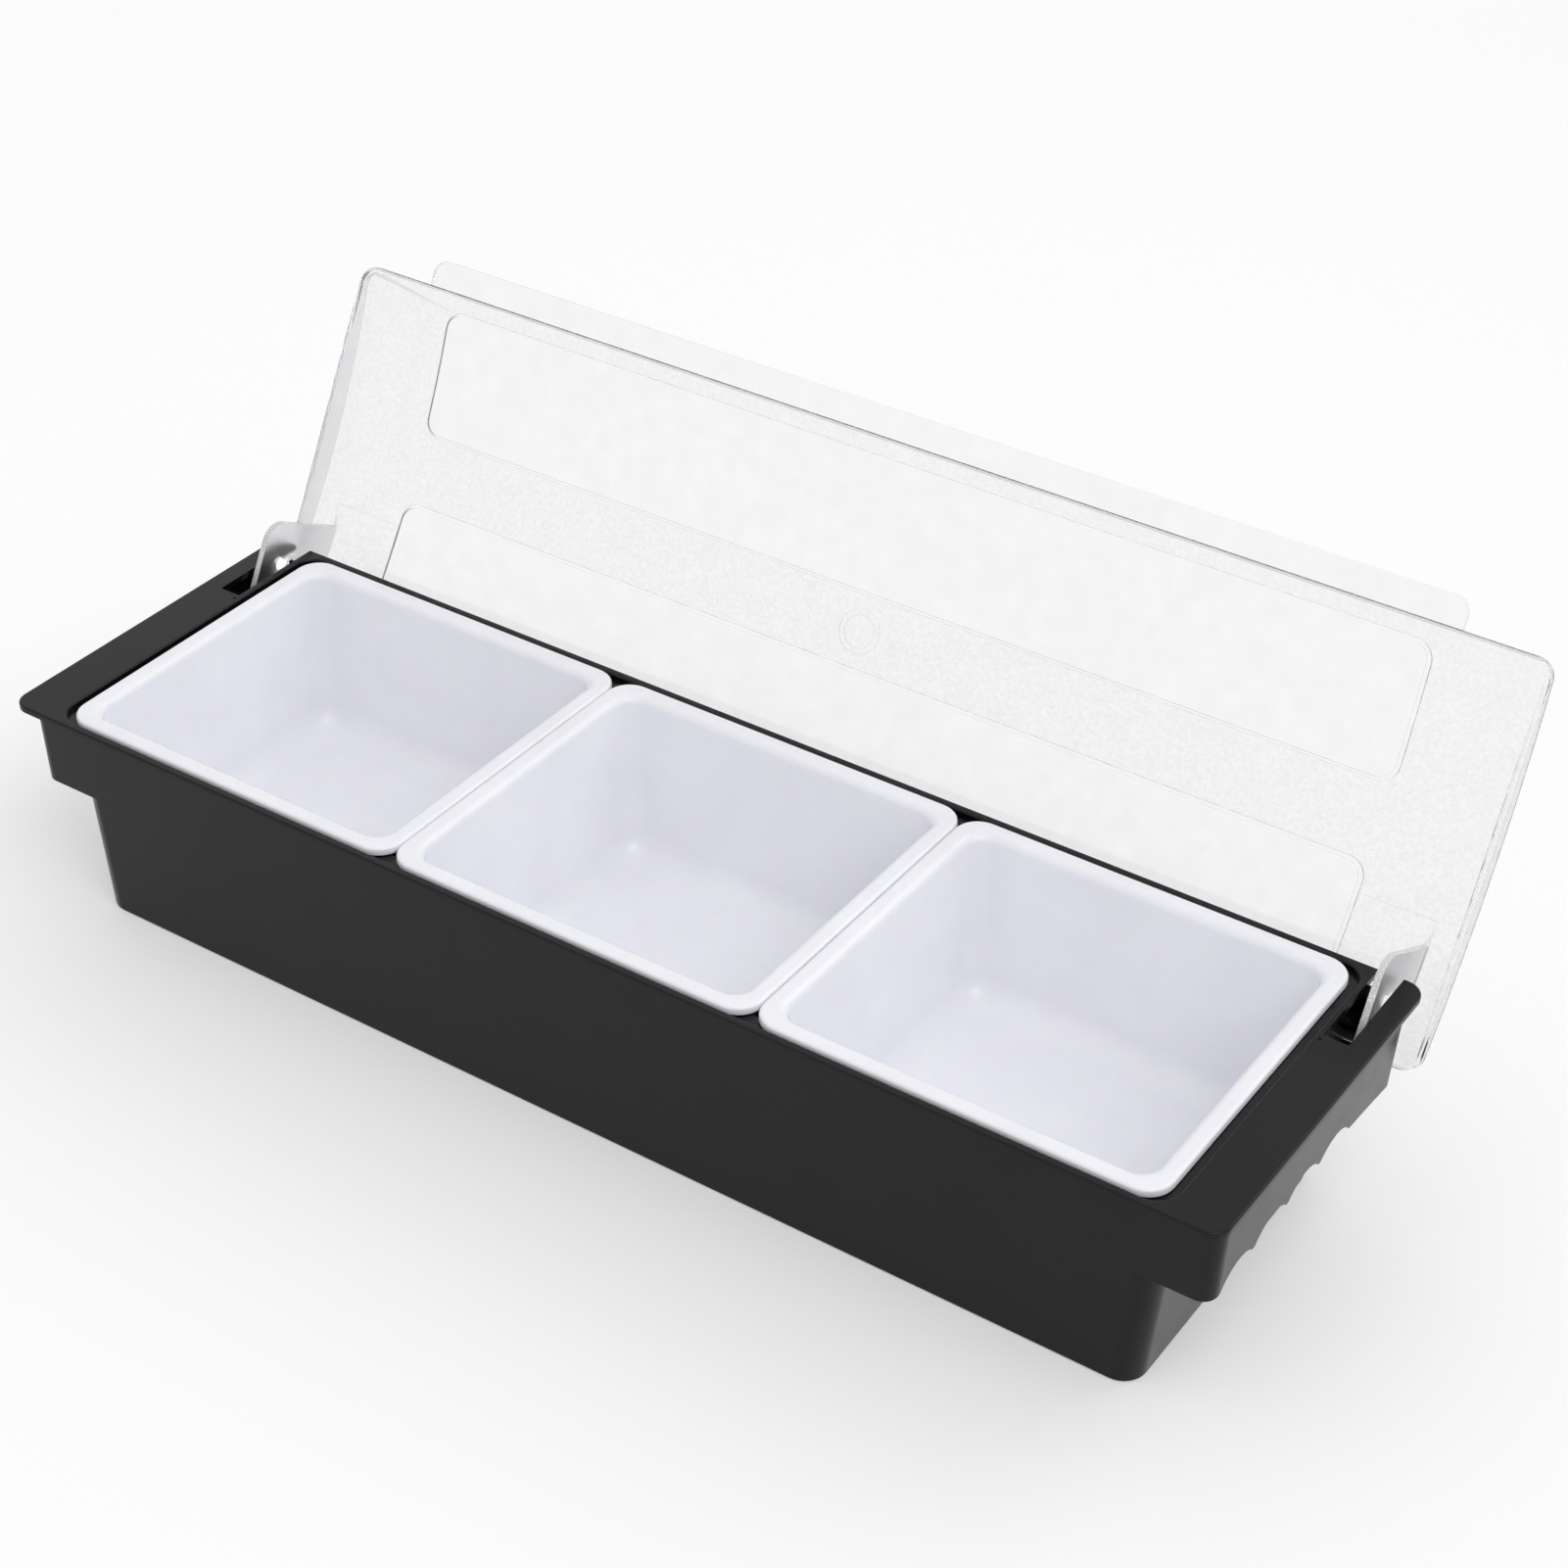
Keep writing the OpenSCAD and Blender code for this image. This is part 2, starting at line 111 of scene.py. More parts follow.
def add_node(
    tree: bpy.types.NodeTree,
    kind: str,
    settings: dict[str, object] | None = None,
    inputs: dict[str, object] | None = None,
) -> bpy.types.Node:
    """Adds one node, with its settings, its values and its links.

    Args:
        tree: The node tree that takes the node.
        kind: The node's type name.
        settings: The node's own properties, by name.
        inputs: Socket values by socket name, where an output socket makes a link.

    Returns:
        The new node.
    """
    node = tree.nodes.new(kind)
    for name, value in (settings or {}).items():
        setattr(node, name, value)
    for name, value in (inputs or {}).items():
        socket = node.inputs[int(name)] if name.isdigit() else node.inputs[name]
        if isinstance(value, bpy.types.NodeSocket):
            tree.links.new(value, socket)
        else:
            socket.default_value = value
    return node


def maths(
    tree: bpy.types.NodeTree,
    operation: str,
    first: bpy.types.NodeSocket | float,
    second: bpy.types.NodeSocket | float,
) -> bpy.types.NodeSocket:
    """Adds one calculation.

    Args:
        tree: The node tree that takes the node.
        operation: The calculation, such as "ADD".
        first: Its first value.
        second: Its second value.

    Returns:
        The result's socket.
    """
    node = add_node(
        tree,
        "ShaderNodeMath",
        settings={"operation": operation},
        inputs={"0": first, "1": second},
    )
    return node.outputs["Value"]


def new_material(name: str) -> tuple[bpy.types.Material, bpy.types.NodeTree]:
    """Makes an empty node material.

    Args:
        name: The material's name.

    Returns:
        The material and its node tree.
    """
    material = bpy.data.materials.new(name)
    material.use_nodes = True
    material.node_tree.nodes.clear()
    return material, material.node_tree


@dataclass(frozen=True)
class Grain:
    """A fine random relief of a moulded surface.

    Attributes:
        size_mm: Width of one bump.
        height_mm: Height of one bump.
        strength: Share of the relief that the light sees.
        detail: Octaves of finer relief on top.
    """

    size_mm: float
    height_mm: float
    strength: float = 1.0
    detail: float = 2.0

    def field(self, tree: bpy.types.NodeTree, place: bpy.types.NodeSocket) -> bpy.types.NodeSocket:
        """Adds the grain's noise.

        Args:
            tree: The material's node tree.
            place: The point on the surface, in metres.

        Returns:
            The noise's value socket.
        """
        noise = add_node(
            tree,
            "ShaderNodeTexNoise",
            inputs={"Vector": place, "Scale": 1 / (self.size_mm * MM), "Detail": self.detail},
        )
        return noise.outputs["Fac"]

    def relief(
        self,
        tree: bpy.types.NodeTree,
        place: bpy.types.NodeSocket,
        under: bpy.types.NodeSocket | None = None,
    ) -> bpy.types.NodeSocket:
        """Adds the grain as a bump.

        Args:
            tree: The material's node tree.
            place: The point on the surface, in metres.
            under: The normal of a coarser relief that this one lies on.

        Returns:
            The bumped normal's socket.
        """
        inputs: dict[str, object] = {
            "Height": self.field(tree, place),
            "Distance": self.height_mm * MM,
            "Strength": self.strength,
        }
        if under is not None:
            inputs["Normal"] = under
        return add_node(tree, "ShaderNodeBump", inputs=inputs).outputs["Normal"]


def spread(
    tree: bpy.types.NodeTree, value: bpy.types.NodeSocket, low: float, high: float
) -> bpy.types.NodeSocket:
    """Maps the middle of a noise's values onto a range.

    Args:
        tree: The material's node tree.
        value: A noise between 0 and 1.
        low: The result where the noise is low.
        high: The result where the noise is high.

    Returns:
        The mapped value's socket.
    """
    mapped = add_node(
        tree,
        "ShaderNodeMapRange",
        inputs={
            "Value": value,
            "From Min": NOISE_LOW,
            "From Max": NOISE_HIGH,
            "To Min": low,
            "To Max": high,
        },
    )
    return mapped.outputs["Result"]


def tinted(
    tree: bpy.types.NodeTree, value: bpy.types.NodeSocket, dark: str, light: str
) -> bpy.types.NodeSocket:
    """Mixes two colours by a noise.

    Args:
        tree: The material's node tree.
        value: A noise between 0 and 1.
        dark: The sRGB colour where the noise is low.
        light: The sRGB colour where the noise is high.

    Returns:
        The colour's socket.
    """
    mix = add_node(
        tree,
        "ShaderNodeMix",
        settings={"data_type": "RGBA"},
        inputs={
            "Factor": spread(tree, value, 0.0, 1.0),
            MIX_FIRST: linear(dark),
            MIX_SECOND: linear(light),
        },
    )
    return mix.outputs[MIX_RESULT]


def object_place(tree: bpy.types.NodeTree) -> bpy.types.NodeSocket:
    """Adds the point on the surface in the piece's own frame, in metres.

    Args:
        tree: The material's node tree.

    Returns:
        The point's socket.
    """
    return add_node(tree, "ShaderNodeTexCoord").outputs["Object"]


@dataclass(frozen=True)
class MouldedPlastic:
    """An opaque injection-moulded plastic with a polished tool's soft gloss.

    Attributes:
        name: The material's name.
        dark: The darker sRGB shade of the mottling.
        light: The lighter sRGB shade of the mottling.
        gloss: Lowest and highest roughness over the surface.
        specular: The specular level, where 0.5 is a refractive index of 1.5.
        flow: The slow waves that the melt's flow and shrinkage leave.
        grain: The fine grain of the tool's face.
        mottle_mm: Width of a patch of one shade.
        smear_mm: Width of a patch of one gloss.
        scatter_mm: Depth that light enters, for a translucent white.
        scatter: Share of the light that enters.
    """

    name: str
    dark: str
    light: str
    gloss: tuple[float, float]
    specular: float
    flow: Grain
    grain: Grain
    mottle_mm: float = 30.0
    smear_mm: float = 10.0
    scatter_mm: float = 0.0
    scatter: float = 0.0

    def make(self) -> bpy.types.Material:
        """Builds the material.

        Returns:
            The material.
        """
        material, tree = new_material(self.name)
        place = object_place(tree)
        mottle = Grain(self.mottle_mm, 0.0).field(tree, place)
        smear = Grain(self.smear_mm, 0.0).field(tree, place)
        flow = self.flow.relief(tree, place)
        shader = add_node(
            tree,
            "ShaderNodeBsdfPrincipled",
            inputs={
                "Base Color": tinted(tree, mottle, self.dark, self.light),
                "Roughness": spread(tree, smear, *self.gloss),
                "Specular IOR Level": self.specular,
                "Subsurface Weight": self.scatter,
                "Subsurface Scale": self.scatter_mm * MM,
                "Normal": self.grain.relief(tree, place, flow),
            },
        )
        add_node(tree, "ShaderNodeOutputMaterial", inputs={"Surface": shader.outputs["BSDF"]})
        return material


@dataclass(frozen=True)
class ClearPlastic:
    """A clear injection-moulded plastic, such as polycarbonate, with a fine frosted grain.

    Attributes:
        name: The material's name.
        tint: The sRGB colour of what passes through.
        pits: The same colour in the low places of the grain, which scatter more.
        ior: The refractive index.
        gloss: Lowest and highest roughness over the surface.
        grain: The frosted grain.
        speckle: The finer sparkle on it.
        shadow: The sRGB colour of the light that its shadow lets through.
        haze: Share of the light that scatters in it instead of passing.
    """

    name: str
    tint: str
    pits: str
    ior: float
    gloss: tuple[float, float]
    grain: Grain
    speckle: Grain
    shadow: str
    haze: float = 0.0

    def make(self) -> bpy.types.Material:
        """Builds the material.

        Returns:
            The material.
        """
        material, tree = new_material(self.name)
        place = object_place(tree)
        grain = self.grain.relief(tree, place)
        shader = add_node(
            tree,
            "ShaderNodeBsdfPrincipled",
            inputs={
                "Base Color": tinted(tree, self.grain.field(tree, place), self.pits, self.tint),
                "Roughness": spread(tree, self.speckle.field(tree, place), *self.gloss),
                "IOR": self.ior,
                "Transmission Weight": 1.0 - self.haze,
                "Normal": self.speckle.relief(tree, place, grain),
            },
        )
        passing = add_node(
            tree, "ShaderNodeBsdfTransparent", inputs={"Color": linear(self.shadow)}
        )
        path = add_node(tree, "ShaderNodeLightPath")
        mixed = add_node(
            tree,
            "ShaderNodeMixShader",
            inputs={
                "Fac": path.outputs["Is Shadow Ray"],
                "1": shader.outputs["BSDF"],
                "2": passing.outputs["BSDF"],
            },
        )
        add_node(tree, "ShaderNodeOutputMaterial", inputs={"Surface": mixed.outputs["Shader"]})
        return material


# ABS, injection moulded in a lightly polished tool: near black with a cool sheen on its flats.
BLACK_ABS = MouldedPlastic(
    name="black_abs_injection_moulded",
    dark="#0b0b0d",
    light="#101013",
    gloss=(0.14, 0.22),
    specular=0.22,
    flow=Grain(26.0, 0.05),
    grain=Grain(0.9, 0.004),
)
# Melamine-white ABS, moulded in a polished tool: bright, glossy and a little translucent.
WHITE_ABS = MouldedPlastic(
    name="white_abs_injection_moulded",
    dark="#f2f2f8",
    light="#f7f7fd",
    gloss=(0.1, 0.16),
    specular=0.5,
    flow=Grain(34.0, 0.05),
    grain=Grain(1.2, 0.003),
    scatter_mm=2.0,
    scatter=0.15,
)
# Polycarbonate, moulded in a spark-eroded tool: clear, with a fine frosted grain.
GRAINED_PC = ClearPlastic(
    name="clear_polycarbonate_spark_eroded",
    tint="#fbfbfb",
    pits="#ececec",
    ior=1.5,
    gloss=(0.14, 0.3),
    grain=Grain(1.6, 0.28, 1.0),
    speckle=Grain(0.7, 0.05, 1.0),
    shadow="#f3f3f3",
)
# The same polycarbonate where the tool is polished: calmer, on the panels, lips and undersides.
POLISHED_PC = ClearPlastic(
    name="clear_polycarbonate_polished",
    tint="#f9f9f9",
    pits="#f5f5f5",
    ior=1.5,
    gloss=(0.06, 0.1),
    grain=Grain(9.0, 0.03, 0.5),
    speckle=Grain(1.1, 0.004, 0.6),
    shadow="#f5f5f5",
)
# The same polycarbonate on its rounded edges, which trap and scatter light: thin grey outlines.
# Their grey is painted shade in the tint, here and on the raised panels' steep borders.
PAINTED_SHADE_EDGE_PC = ClearPlastic(
    name="clear_polycarbonate_rounded_edge_painted_shade",
    tint="#b4b4b4",
    pits="#a6a6a6",
    ior=1.5,
    gloss=(0.1, 0.16),
    grain=Grain(9.0, 0.02, 0.4),
    speckle=Grain(1.1, 0.003, 0.5),
    shadow="#eeeeee",
    haze=0.5,
)
# The same polycarbonate on the upright walls, seen along their depth: pale and a little milky.
# Its index is far below the plastic's 1.58, so that the walls don't mirror the black base.
MILKY_PC = ClearPlastic(
    name="clear_polycarbonate_upright_wall",
    tint="#f5f5f6",
    pits="#f1f1f2",
    ior=1.15,
    gloss=(0.08, 0.14),
    grain=Grain(9.0, 0.03, 0.5),
    speckle=Grain(1.1, 0.004, 0.6),
    shadow="#f3f3f3",
    haze=0.35,
)
# The same polycarbonate in the soft bend from the crown to the front lip: a pale line, whose grey
# tint is painted shade.
# Its index is low too, because the bend would otherwise turn all light back and look dark.
PAINTED_SHADE_BEND_PC = ClearPlastic(
    name="clear_polycarbonate_soft_bend_painted_shade",
    tint="#e4e4e5",
    pits="#dadadb",
    ior=1.15,
    gloss=(0.1, 0.16),
    grain=Grain(9.0, 0.02, 0.4),
    speckle=Grain(1.1, 0.003, 0.5),
    shadow="#f0f0f0",
    haze=0.25,
)
# The same polycarbonate on the arms' flats, stroked smooth along the draw: hazy and grey.
HAZY_PC = ClearPlastic(
    name="clear_polycarbonate_draw_polished",
    tint="#f4f4f5",
    pits="#ededee",
    ior=1.45,
    gloss=(0.3, 0.4),
    grain=Grain(4.0, 0.05, 0.5),
    speckle=Grain(0.6, 0.01, 0.6),
    shadow="#efefef",
)
# The same polycarbonate on the arms' narrow sides, where the light of the whole blade comes out.
GLOWING_PC = ClearPlastic(
    name="clear_polycarbonate_light_collecting_side",
    tint="#f5f5f6",
    pits="#f1f1f2",
    ior=1.45,
    gloss=(0.2, 0.3),
    grain=Grain(3.0, 0.03, 0.5),
    speckle=Grain(0.6, 0.008, 0.6),
    shadow="#f0f0f0",
    haze=0.6,
)


@dataclass
class Moulding:
    """One moulded piece, drawn as a smooth copy of its CAD node with softly rounded edges.

    Attributes:
        node: The CAD node that it stands for.
        body: The CAD body that it rides on.
        edge_mm: Radius that a mould leaves on the sharp edges.
        crease_deg: Angle from which an edge counts as sharp.
        segments: Steps in an edge's rounding.
        edge_slot: Material slot of the rounded edges, or -1 for that of the faces beside them.
        weld_mm: Distance up to which two corners are one.
        flat_deg: Angle up to which two faces are one.
    """

    node: str
    body: str
    edge_mm: float = 0.35
    crease_deg: float = 32.0
    segments: int = 3
    edge_slot: int = -1

    weld_mm: float = field(default=0.002, init=False)
    flat_deg: float = field(default=0.05, init=False)

    def weld(self, work: bmesh.types.BMesh) -> None:
        """Joins the facets' corners.

        Args:
            work: The copied mesh.
        """
        bmesh.ops.remove_doubles(work, verts=work.verts, dist=self.weld_mm * MM)

    def mesh(self, source: bpy.types.Object) -> bpy.types.Mesh:
        """Copies the node's mesh, joins its facets and merges its flat faces.

        Args:
            source: The CAD node.

        Returns:
            The new mesh.
        """
        work = bmesh.new()
        work.from_mesh(source.data)
        self.weld(work)
        bmesh.ops.dissolve_limit(
            work,
            angle_limit=math.radians(self.flat_deg),
            verts=work.verts,
            edges=work.edges,
        )
        mesh = bpy.data.meshes.new(self.node + "_moulded")
        work.to_mesh(mesh)
        work.free()
        mesh.shade_smooth()
        return mesh

    def soften(self, piece: bpy.types.Object) -> None:
        """Rounds the piece's sharp edges and settles its shading, in its mesh.

        Args:
            piece: The piece, with its welded mesh.
        """
        bevel = piece.modifiers.new("edges", "BEVEL")
        bevel.width = self.edge_mm * MM
        bevel.segments = self.segments
        bevel.limit_method = "ANGLE"
        bevel.angle_limit = math.radians(self.crease_deg)
        bevel.miter_outer = "MITER_ARC"
        bevel.material = self.edge_slot
        weighted = piece.modifiers.new("normals", "WEIGHTED_NORMAL")
        weighted.mode = "FACE_AREA"
        weighted.keep_sharp = True
        bpy.context.view_layer.update()
        graph = bpy.context.evaluated_depsgraph_get()
        shaped = bpy.data.meshes.new_from_object(piece.evaluated_get(graph), depsgraph=graph)
        piece.modifiers.clear()
        old = piece.data
        piece.data = shaped
        bpy.data.meshes.remove(old)

    def build(self, frame: dict, finishes: list[bpy.types.Material]) -> bpy.types.Object:
        """Makes the piece, dresses it and puts it in the CAD node's place.

        Args:
            finishes: The piece's materials, of which the first is on most of it.

        Returns:
            The piece.
        """
        piece = bpy.data.objects.new(self.node + "_moulding", self.mesh(frame["nodes"][self.node]))
        bpy.context.scene.collection.objects.link(piece)
        for finish in finishes:
            piece.data.materials.append(finish)
        self.soften(piece)
        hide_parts(self.node)
        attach(piece, self.body)
        LOG.info("%s: %d faces of %s", piece.name, len(piece.data.polygons), finishes[0].name)
        return piece


@dataclass
class Base(Moulding):
    """The black base, whose end skirts run into the tub's front without a seam.

    Attributes:
        seam_mm: Distance of the skirts' inner ends from the middle of the caddy.
        step_mm: More than the step that the CAD has between the skirts' fronts and the tub's.
    """

    seam_mm: float = 218.419
    step_mm: float = 0.12

    def weld(self, work: bmesh.types.BMesh) -> None:
        """Joins the facets' corners, and those on both sides of the skirts' seams.

        Args:
            work: The copied mesh.
        """
        super().weld(work)
        seam = [
            corner
            for corner in work.verts
            if abs(abs(corner.co.x) / MM - self.seam_mm) < self.weld_mm and corner.co.y < 0
        ]
        bmesh.ops.remove_doubles(work, verts=seam, dist=self.step_mm * MM)
        LOG.info("%s: %d corners at the skirts' seams", self.node, len(seam))


@dataclass
class Lid(Moulding):
    """The clear lid, whose crown, panels, edges and arms have finishes of their own, with painted
    shade on its rounded edges and its front bend.

    Attributes:
        arm_span_mm: Inner and outer faces of the arms, from the middle of the caddy.
        panel_end_mm: Distance of the raised panels' ends from the middle of the caddy.
        front_panel_mm: Front and back edges of the front panel, on the closed lid.
        back_panel_mm: The same of the back panel.
        crown_low_mm: Height on the closed lid that all of the crown is above.
        crown_end_mm: Distance from the middle, to the front and back, that the crown ends before.
        lip_start_mm: The same distance that the lips begin beyond.
        arm_top_mm: Height on the closed lid that all of the free arm is below.
        arm_reach_mm: Distance from the middle, to the front and back, that the arms stay within.
        upright: Least share of the closed lid's Z in the direction of a face that lies flat.
        level: The same for the lip, whose walls bend over into it.
    """

    arm_span_mm: tuple[float, float] = (237.7, 240.3)
    panel_end_mm: float = 210.6
    front_panel_mm: tuple[float, float] = (-66.2, -15.2)
    back_panel_mm: tuple[float, float] = (12.0, 66.2)
    crown_low_mm: float = 88.8
    crown_end_mm: float = 70.8
    lip_start_mm: float = 74.0
    arm_top_mm: float = 96.0
    arm_reach_mm: float = 70.0
    upright: float = 0.5
    level: float = 0.9

    def closing(self, frame: dict) -> Matrix:
        """Finds the move that closes the lid from its drawn, open place.


        Returns:
            The move, in metres.
        """
        joint = next(j for j in frame["joints"] if j["child"] == self.body)
        pivot = Matrix.Translation(Vector(joint["pos_m"]))
        angle = math.radians(joint["range_deg"][0])
        return pivot @ Matrix.Rotation(angle, 4, Vector(joint["axis"])) @ pivot.inverted()

    def place_of(self, spot: Vector, facing: Vector, rounded: bool) -> LidPart:
        """Says which place of the lid a face belongs to.

        Args:
            spot: The face's middle on the closed lid, in millimetres.
            facing: The face's direction on the closed lid.
            rounded: Whether the face is part of a rounded edge.

        Returns:
            The place.
        """
        inner, outer = self.arm_span_mm
        in_arm = inner < abs(spot.x) < outer and abs(spot.y) < self.arm_reach_mm
        if in_arm and spot.z < self.arm_top_mm:
            return LidPart.ARM if abs(facing.x) > self.upright else LidPart.ARM_EDGE
        if rounded and not self.crown_end_mm < abs(spot.y) < self.lip_start_mm:
            return LidPart.EDGE
        in_panel = abs(spot.x) < self.panel_end_mm and any(
            front < spot.y < back for front, back in (self.front_panel_mm, self.back_panel_mm)
        )
        if spot.z < self.crown_low_mm or abs(spot.y) > self.crown_end_mm:
            if abs(facing.z) > self.level:
                return LidPart.SMOOTH
            in_bend = spot.z > self.crown_low_mm and -self.lip_start_mm < spot.y < 0
            return LidPart.BEND if in_bend else LidPart.WALL
        if in_panel:
            return LidPart.SMOOTH if abs(facing.z) > self.upright else LidPart.EDGE
        if facing.z > self.upright:
            return LidPart.CROWN
        return LidPart.SMOOTH if facing.z < -self.upright else LidPart.WALL

    def dress(self, piece: bpy.types.Object, frame: dict) -> None:
        """Gives every face its place's finish.

        Args:
            piece: The lid, with all of its materials.
        """
        close = self.closing(frame)
        turn = close.to_3x3()
        count = dict.fromkeys(LidPart, 0)
        for face in piece.data.polygons:
            rounded = face.material_index == self.edge_slot
            place = self.place_of(close @ face.center / MM, turn @ face.normal, rounded)
            face.material_index = place.value
            count[place] += 1
        LOG.info("lid places: %s", {place.name: number for place, number in count.items()})


@dataclass
class HingeWeb:
    """A thin web under the flange, from the tub's back corner to the arm: it darkens the slot.

    Attributes:
        side: -1 on the left, 1 on the right.
        inner_mm: Distance of its inner end, buried in the tub's wall, from the middle of the caddy.
        outer_mm: Distance of its free end, just short of the arm.
        low_mm: Height of its lower edge.
        top_mm: Height of its upper edge, buried in the flange.
        corner_mm: Radius of its free lower corner.
        face_mm: Distance of its back face at the top, a little inside the tub's own.
        wall_mm: Its thickness.
        draft_deg: Slope of its faces, like the tub's.
        edge_mm: Radius of its edges.
        edge_steps: Steps in an edge's rounding.
        corner_steps: Steps in the free corner's rounding.
    """

    side: int
    inner_mm: float = 219.0
    outer_mm: float = 236.9
    low_mm: float = 56.0
    top_mm: float = 84.3
    corner_mm: float = 3.0
    face_mm: float = 66.7
    wall_mm: float = 1.8
    draft_deg: float = 1.6
    edge_mm: float = 0.35
    edge_steps: int = 2
    corner_steps: int = 6

    def outline(self) -> list[tuple[float, float]]:
        """Draws the web from behind.

        Returns:
            Its corners as distance from the middle and height, in millimetres.
        """
        corners = [(self.inner_mm, self.top_mm), (self.inner_mm, self.low_mm)]
        for step in range(self.corner_steps + 1):
            turn = math.pi / 2 * step / self.corner_steps
            out = self.outer_mm - self.corner_mm * (1 - math.sin(turn))
            up = self.low_mm + self.corner_mm * (1 - math.cos(turn))
            corners.append((out, up))
        return [*corners, (self.outer_mm, self.top_mm)]

    def build(self, finish: bpy.types.Material) -> bpy.types.Object:
        """Makes the web.

        Args:
            finish: The base's material.

        Returns:
            The web.
        """
        work = bmesh.new()
        lean = math.tan(math.radians(self.draft_deg))
        front, back = [
            [
                work.verts.new(Vector((self.side * x, y - (self.top_mm - z) * lean, z)) * MM)
                for x, z in self.outline()
            ]
            for y in (self.face_mm - self.wall_mm, self.face_mm)
        ]
        work.faces.new(front)
        work.faces.new(back)
        for here in range(len(front)):
            work.faces.new((front[here - 1], front[here], back[here], back[here - 1]))
        bmesh.ops.recalc_face_normals(work, faces=work.faces)
        bmesh.ops.bevel(
            work,
            geom=work.edges,
            offset=self.edge_mm * MM,
            segments=self.edge_steps,
            affect="EDGES",
        )
        name = "hinge_web_right" if self.side > 0 else "hinge_web_left"
        mesh = bpy.data.meshes.new(name)
        work.to_mesh(mesh)
        work.free()
        mesh.materials.append(finish)
        web = bpy.data.objects.new(name, mesh)
        bpy.context.scene.collection.objects.link(web)
        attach(web, "base")
        LOG.info("%s: %d faces", name, len(mesh.polygons))
        return web


@dataclass
class Caddy:
    """The whole caddy: the base with its hinge webs, its trays and its lid.

    Attributes:
        trays: The trays' CAD nodes, which are their bodies too.
        tray_edge_mm: Radius of the trays' edges.
        lid_edge_mm: Radius of the lid's edges.
    """

    trays: tuple[str, ...] = ("tray_left", "tray_centre", "tray_right")
    tray_edge_mm: float = 0.3
    lid_edge_mm: float = 0.4

    def build(self, frame: dict) -> list[bpy.types.Object]:
        """Builds every piece.


        Returns:
            The pieces.
        """
        black = BLACK_ABS.make()
        white = WHITE_ABS.make()
        clear = {
            LidPart.CROWN: GRAINED_PC,
            LidPart.SMOOTH: POLISHED_PC,
            LidPart.EDGE: PAINTED_SHADE_EDGE_PC,
            LidPart.ARM: HAZY_PC,
            LidPart.ARM_EDGE: GLOWING_PC,
            LidPart.WALL: MILKY_PC,
            LidPart.BEND: PAINTED_SHADE_BEND_PC,
        }
        pieces = [Base("base", "base").build(frame, [black])]
        pieces.extend(HingeWeb(side).build(black) for side in (-1, 1))
        for name in self.trays:
            tray = Moulding(name, name, edge_mm=self.tray_edge_mm)
            pieces.append(tray.build(frame, [white]))
        lid = Lid("lid", "lid", edge_mm=self.lid_edge_mm, edge_slot=LidPart.EDGE.value)
        pieces.append(lid.build(frame, [clear[place].make() for place in LidPart]))
        lid.dress(pieces[-1], frame)
        return pieces


@dataclass(frozen=True)
class SoftBox:
    """A square soft lamp.

    Attributes:
        name: The lamp's name.
        place: Where it hangs, in metres.
        side_m: Its side.
        watts: Its power.
        floor_light: Part of the floor's lift that its light makes needless right under it.
    """

    name: str
    place: tuple[float, float, float]
    side_m: float
    watts: float
    floor_light: float

    def hang(self, aim: Vector) -> None:
        """Hangs the lamp.

        Args:
            aim: The point that it faces.
        """
        data = bpy.data.lights.new(self.name, "AREA")
        data.size = self.side_m
        data.energy = self.watts
        lamp = bpy.data.objects.new(self.name, data)
        bpy.context.scene.collection.objects.link(lamp)
        lamp.location = self.place
        lamp.rotation_mode = "QUATERNION"
        lamp.rotation_quaternion = (aim - lamp.location).to_track_quat("-Z", "Y")

    def reach(
        self, tree: bpy.types.NodeTree, spot: bpy.types.NodeSocket
    ) -> bpy.types.NodeSocket:
        """Adds its light on the floor, which falls off with the distance from its foot.

        Args:
            tree: The floor's node tree.
            spot: The place on the floor.

        Returns:
            The light's socket.
        """
        east, north, height = self.place
        away = add_node(
            tree,
            "ShaderNodeVectorMath",
            settings={"operation": "DISTANCE"},
            inputs={"0": spot, "1": (east, north, 0.0)},
        )
        light = away.outputs["Value"]
        # floor_light / (1 + (distance / height) ** 2) ** 2: the longer way and both slants.
        for operation, operand in (
            ("DIVIDE", height),
            ("POWER", 2.0),
            ("ADD", 1.0),
            ("POWER", -2.0),
            ("MULTIPLY", self.floor_light),
        ):
            light = maths(tree, operation, light, operand)
        return light


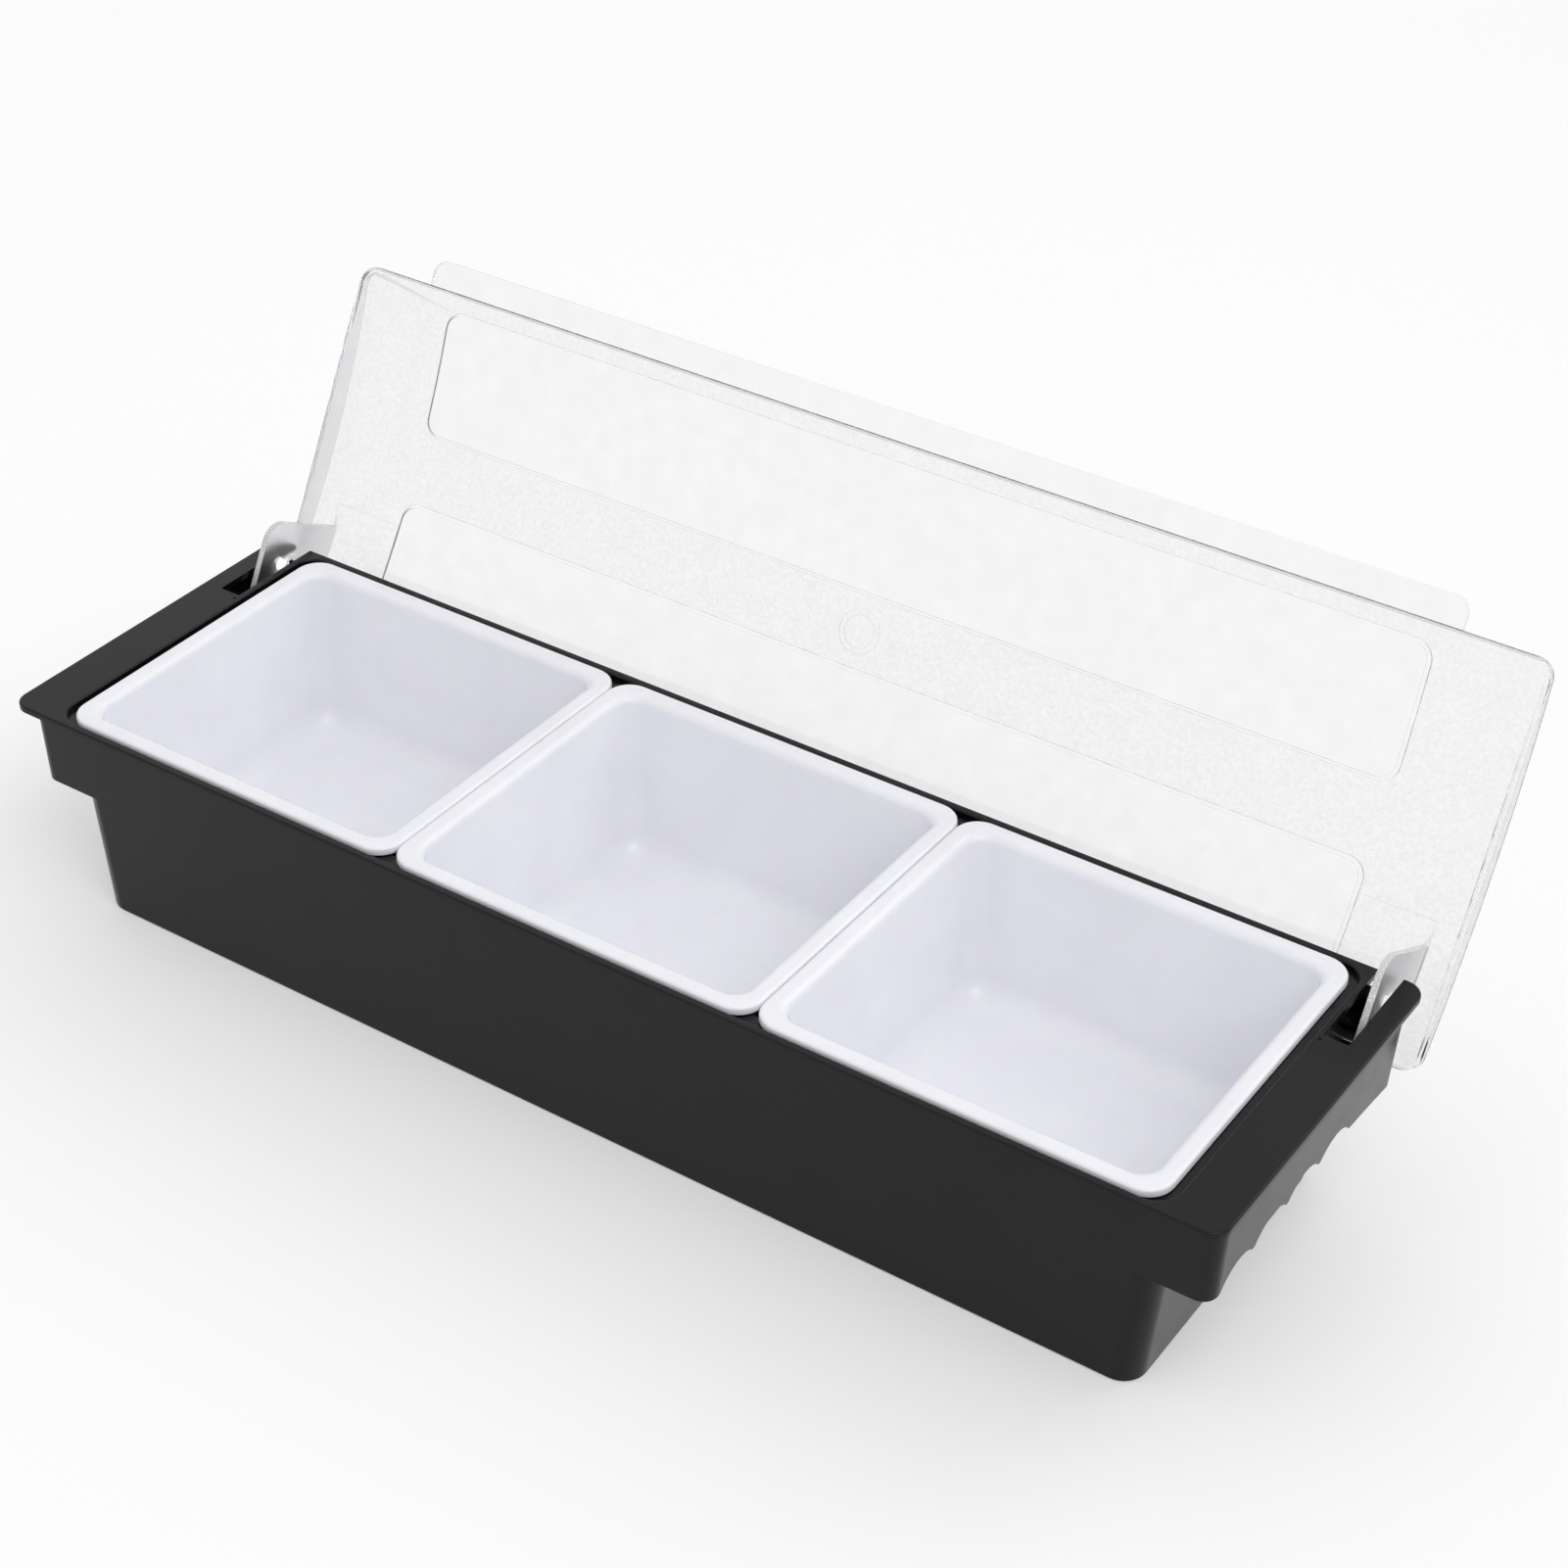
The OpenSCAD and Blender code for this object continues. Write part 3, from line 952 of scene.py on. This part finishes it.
@dataclass
class Studio:
    """A white floor and soft lamps.

    Attributes:
        floor_m: Side of the floor.
        floor_colour: The floor's sRGB colour.
        floor_lift: White that the camera sees on top of the floor's own light, far from the lamps.
        sky: Light of the white surroundings on the caddy.
        lamps: The soft boxes.
        aim_m: The point of the caddy that they face.
    """

    floor_m: float = 40.0
    floor_colour: str = "#e4e4e6"
    floor_lift: float = 0.342
    sky: float = 0.72
    lamps: tuple[SoftBox, ...] = (
        SoftBox("key_soft_box", (1.6, -0.8, 2.4), 2.0, 20.0, 0.12),
        SoftBox("back_soft_box", (0.8, 1.4, 1.3), 1.2, 5.0, 0.2),
    )
    aim_m: tuple[float, float, float] = (0.0, 0.0, 0.06)

    def floor(self) -> None:
        """Lays the floor under the caddy."""
        half = self.floor_m / 2
        mesh = bpy.data.meshes.new("floor")
        corners = [(-half, -half, 0), (half, -half, 0), (half, half, 0), (-half, half, 0)]
        mesh.from_pydata(corners, [], [(0, 1, 2, 3)])
        floor = bpy.data.objects.new("floor", mesh)
        bpy.context.scene.collection.objects.link(floor)
        material, tree = new_material("white_studio_paper")
        paper = add_node(
            tree,
            "ShaderNodeBsdfDiffuse",
            inputs={"Color": linear(self.floor_colour)},
        )
        glow = add_node(
            tree,
            "ShaderNodeEmission",
            inputs={"Color": linear("#ffffff"), "Strength": self.lift(tree)},
        )
        both = add_node(
            tree,
            "ShaderNodeAddShader",
            inputs={"0": paper.outputs["BSDF"], "1": glow.outputs["Emission"]},
        )
        add_node(tree, "ShaderNodeOutputMaterial", inputs={"Surface": both.outputs["Shader"]})
        mesh.materials.append(material)

    @staticmethod
    def seen(tree: bpy.types.NodeTree) -> bpy.types.NodeSocket:
        """Adds a test for rays that see the background.

        Args:
            tree: The node tree of the floor or the world.

        Returns:
            A socket that is 1 on camera, glossy and transmission rays.
        """
        path = add_node(tree, "ShaderNodeLightPath")
        found = path.outputs["Is Camera Ray"]
        for ray in ("Is Glossy Ray", "Is Transmission Ray"):
            found = maths(tree, "MAXIMUM", found, path.outputs[ray])
        return found

    def lift(self, tree: bpy.types.NodeTree) -> bpy.types.NodeSocket:
        """Adds the white that evens out the lamps' light, only on rays that see the background.

        Args:
            tree: The floor's node tree.

        Returns:
            The white's socket.
        """
        spot = add_node(tree, "ShaderNodeNewGeometry")
        white = self.floor_lift
        for lamp in self.lamps:
            white = maths(tree, "SUBTRACT", white, lamp.reach(tree, spot.outputs["Position"]))
        return maths(tree, "MULTIPLY", self.seen(tree), white)

    def surroundings(self) -> None:
        """Makes the white world, which lights the caddy softly from all round."""
        world = bpy.data.worlds.new("white_studio")
        bpy.context.scene.world = world
        world.use_nodes = True
        tree = world.node_tree
        tree.nodes.clear()
        strength = add_node(
            tree,
            "ShaderNodeMapRange",
            inputs={"Value": self.seen(tree), "To Min": self.sky, "To Max": 1.0},
        )
        sky = add_node(
            tree,
            "ShaderNodeBackground",
            inputs={"Color": linear("#ffffff"), "Strength": strength.outputs["Result"]},
        )
        add_node(tree, "ShaderNodeOutputWorld", inputs={"Surface": sky.outputs["Background"]})

    def build(self) -> None:
        """Sets up the floor, the surroundings and the lamps."""
        self.floor()
        self.surroundings()
        for lamp in self.lamps:
            lamp.hang(Vector(self.aim_m))
        bpy.context.scene.view_settings.view_transform = "Standard"


@dataclass
class Photographer:
    """The camera, where the photograph's camera stood.

    Attributes:
        place_m: The camera's place.
        forward: Its viewing direction.
        right: The picture's right in space, which holds the small roll.
        lens_mm: Focal length.
        film_mm: Width of the picture behind the lens.
    """

    place_m: tuple[float, float, float] = (0.519233, -0.728894, 0.733722)
    forward: tuple[float, float, float] = (-0.4487396, 0.6865488, -0.572087)
    right: tuple[float, float, float] = (0.829699, 0.5578973, 0.018712)
    lens_mm: float = 72.675
    film_mm: float = 36.0

    def build(self) -> None:
        """Makes the scene's camera."""
        back = -Vector(self.forward).normalized()
        right = Vector(self.right)
        right = (right - back * right.dot(back)).normalized()
        up = back.cross(right)
        data = bpy.data.cameras.new("camera")
        data.sensor_width = self.film_mm
        data.lens = self.lens_mm
        camera = bpy.data.objects.new("camera", data)
        bpy.context.scene.collection.objects.link(camera)
        turn = Matrix((right, up, back)).transposed().to_4x4()
        camera.matrix_world = Matrix.Translation(Vector(self.place_m)) @ turn
        bpy.context.scene.camera = camera


def main() -> None:
    """Builds the caddy, the studio and the camera."""
    logging.basicConfig(level=logging.INFO, format="%(name)s: %(message)s")
    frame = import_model()
    Photographer().build()
    Caddy().build(frame)
    Studio().build()


if __name__ == "__main__":
    main()
